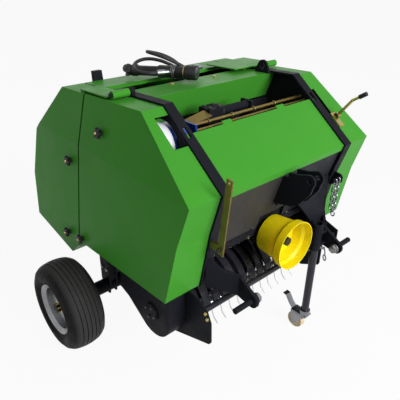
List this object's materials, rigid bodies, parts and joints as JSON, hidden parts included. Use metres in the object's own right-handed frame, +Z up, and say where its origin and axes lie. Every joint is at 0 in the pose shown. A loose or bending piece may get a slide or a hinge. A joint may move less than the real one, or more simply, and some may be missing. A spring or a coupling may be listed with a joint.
{
  "type": "mini round baler for a three-point hitch",
  "caption": "Compact roller-chamber round baler with leaning sheet covers, tined pickup, lift-up tailgate, road wheels, a caster stand and a three-point hitch with input shaft guard.",
  "frame": {"origin": "on the ground under the middle of the machine's box", "axes": "+X forward toward the hitch, +Y to the machine's left, +Z up"},
  "size_m": [1.2379, 1.425, 1.2318],
  "materials": {
    "green_paint": "gloss enamel",
    "black_paint": "satin powder coat",
    "grey_paint": "satin powder coat",
    "bare_steel": "worn bare steel",
    "dark_steel": "oiled dark steel",
    "spring_steel": "bright wire",
    "zinc_plate": "zinc plated",
    "yellow_zinc": "yellow passivated zinc",
    "silver_paint": "silver enamel",
    "yellow_plastic": "gloss",
    "black_plastic": "satin",
    "blue_paint": "gloss enamel",
    "white_paint": "gloss enamel",
    "nylon": "matte",
    "hose_rubber": "satin",
    "tyre_rubber": "matte"
  },
  "bodies": {
    "chassis": {"side_frame_left": "black_paint", "side_frame_right": "black_paint", "front_cover_left": "green_paint", "front_cover_right": "green_paint", "hood": "green_paint", "top_plate": "green_paint", "front_wall": "grey_paint", "twine_tray": "black_paint", "rollers_front": "bare_steel", "axle": "black_paint", "mast": "black_paint", "hitch_arm_left": "black_paint", "hitch_arm_right": "black_paint", "gearbox": "black_paint", "pto_guard": "yellow_plastic", "guard_rim": "yellow_plastic", "stand_sleeve": "black_paint", "pickup_plate_left": "black_paint", "pickup_plate_right": "black_paint", "chain_case": "black_paint", "pickup_bands": "black_paint", "crop_guard": "black_paint", "twine_drum": "blue_paint", "drum_flange": "white_paint", "twine_drive": "black_paint", "twine_rods": "yellow_zinc", "hand_lever": "yellow_zinc", "lifting_eye": "black_paint", "lift_lever": "yellow_zinc", "check_chain": "zinc_plate", "chain_hook": "black_paint"},
    "tailgate": {"tailgate_side_left": "black_paint", "tailgate_side_right": "black_paint", "tailgate_skin": "green_paint", "rear_cover_left": "green_paint", "rear_cover_right": "green_paint", "hinge_arm_left": "green_paint", "hinge_arm_right": "green_paint", "rollers_rear": "bare_steel", "rear_bracket": "black_paint", "stored_shaft": "black_plastic", "hose_plate": "black_paint", "hose_far": "hose_rubber", "hose_near": "hose_rubber", "coupler_far": "zinc_plate", "coupler_near": "zinc_plate"},
    "wheel_left": {"rim_left": "silver_paint", "tyre_left": "tyre_rubber"},
    "wheel_right": {"rim_right": "silver_paint", "tyre_right": "tyre_rubber"},
    "reel": {"pickup_reel": "spring_steel"},
    "input_shaft": {"pto_stub": "dark_steel"},
    "stand": {"stand_leg": "black_paint"},
    "caster": {"caster_fork": "zinc_plate"},
    "caster_roller": {"caster_wheel": "nylon"}
  },
  "joints": [
    {"name": "tailgate_hinge", "type": "hinge", "parent": "chassis", "child": "tailgate", "pos_m": [0.017, 0, 1.13925], "axis": [0, 1, 0], "range_deg": [0, 60]},
    {"name": "wheel_left_spin", "type": "hinge", "parent": "chassis", "child": "wheel_left", "pos_m": [-0.159, 0.63, 0.203], "axis": [0, 1, 0], "continuous": true},
    {"name": "wheel_right_spin", "type": "hinge", "parent": "chassis", "child": "wheel_right", "pos_m": [-0.159, -0.63, 0.203], "axis": [0, 1, 0], "continuous": true},
    {"name": "reel_spin", "type": "hinge", "parent": "chassis", "child": "reel", "pos_m": [0.274, 0, 0.36], "axis": [0, 1, 0], "continuous": true},
    {"name": "input_spin", "type": "hinge", "parent": "chassis", "child": "input_shaft", "pos_m": [0.482, 0, 0.594], "axis": [1, 0, 0], "continuous": true},
    {"name": "stand_slide", "type": "slide", "parent": "chassis", "child": "stand", "axis": [0, 0, 1], "range_m": [-0.12, 0.03]},
    {"name": "caster_swivel", "type": "hinge", "parent": "stand", "child": "caster", "pos_m": [0.506, 0.216, 0.11], "axis": [0, 0, 1], "continuous": true},
    {"name": "caster_spin", "type": "hinge", "parent": "caster", "child": "caster_roller", "pos_m": [0.466, 0.216, 0.04], "axis": [0, 1, 0], "continuous": true}
  ]
}
